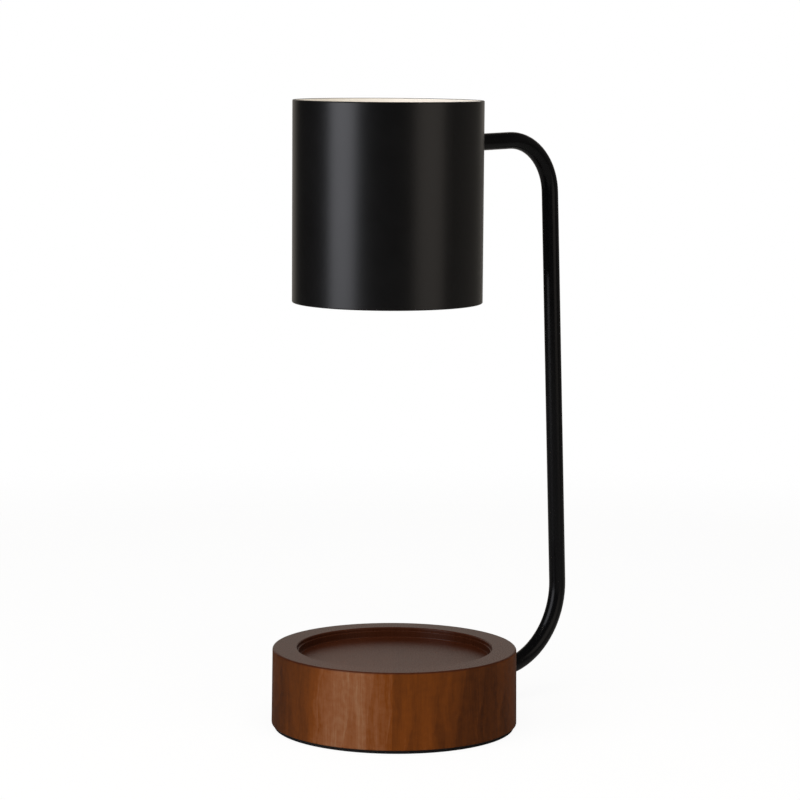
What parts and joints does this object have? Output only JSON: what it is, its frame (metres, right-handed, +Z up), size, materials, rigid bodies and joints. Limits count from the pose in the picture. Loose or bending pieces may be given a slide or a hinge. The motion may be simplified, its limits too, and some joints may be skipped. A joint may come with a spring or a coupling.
{
  "type": "candle warmer lamp",
  "caption": "Round wooden base with a tray for a jar candle, a bent tube arm behind it and an open metal shade over it that holds a twist-lock reflector bulb.",
  "frame": {"origin": "middle of the base's underside, on the surface it stands on", "axes": "+Z up, +Y towards the arm behind the base, +X to the right seen from the front"},
  "size_m": [0.144, 0.2099, 0.3661],
  "materials": {
    "stained_walnut": "satin",
    "foot_foam": "matt",
    "black_powder_coat": "satin",
    "shade_coat": "satin black outside, cream inside",
    "zinc_plate": "satin",
    "brass": "satin",
    "black_rubber": "matt",
    "black_nylon": "matt",
    "white_nylon": "satin",
    "white_ceramic": "satin",
    "brown_insulation": "satin",
    "blue_insulation": "satin",
    "glass_fibre_sleeve": "woven",
    "reflector_glass": "mirror coated inside",
    "clear_glass": "clear",
    "tungsten": "matt"
  },
  "bodies": {
    "lamp": {"base_body": "stained_walnut", "antislip_pad": "foot_foam", "bottom_cover": "zinc_plate", "cover_screws": "zinc_plate", "cord_grommet": "black_rubber", "arm_tube": "black_powder_coat", "base_collar": "black_powder_coat", "base_washer": "zinc_plate", "base_nut": "zinc_plate", "base_end_bush": "black_nylon", "shade_collar": "black_powder_coat", "shade_washer": "zinc_plate", "shade_nut": "zinc_plate", "shade_end_bush": "black_nylon", "shade_shell": "shade_coat", "holder_bracket": "zinc_plate", "lampholder": "white_ceramic", "holder_screws": "zinc_plate", "holder_nuts": "zinc_plate", "holder_contacts": "brass", "terminal_block": "white_nylon", "terminal_inserts": "brass", "terminal_screws": "zinc_plate", "block_screw": "zinc_plate", "lead_live": "brown_insulation", "lead_neutral": "blue_insulation", "lead_sleeves": "glass_fibre_sleeve"},
    "bulb": {"bulb_base": "white_ceramic", "bulb_pins": "zinc_plate", "bulb_reflector": "reflector_glass", "bulb_front_glass": "clear_glass", "bulb_capsule": "clear_glass", "bulb_filament": "tungsten"}
  },
  "joints": [
    {"name": "bulb_twist", "type": "hinge", "parent": "lamp", "child": "bulb", "pos_m": [0, -0.0073, 0.327], "axis": [0, 0, -1], "range_deg": [0, 25]}
  ]
}
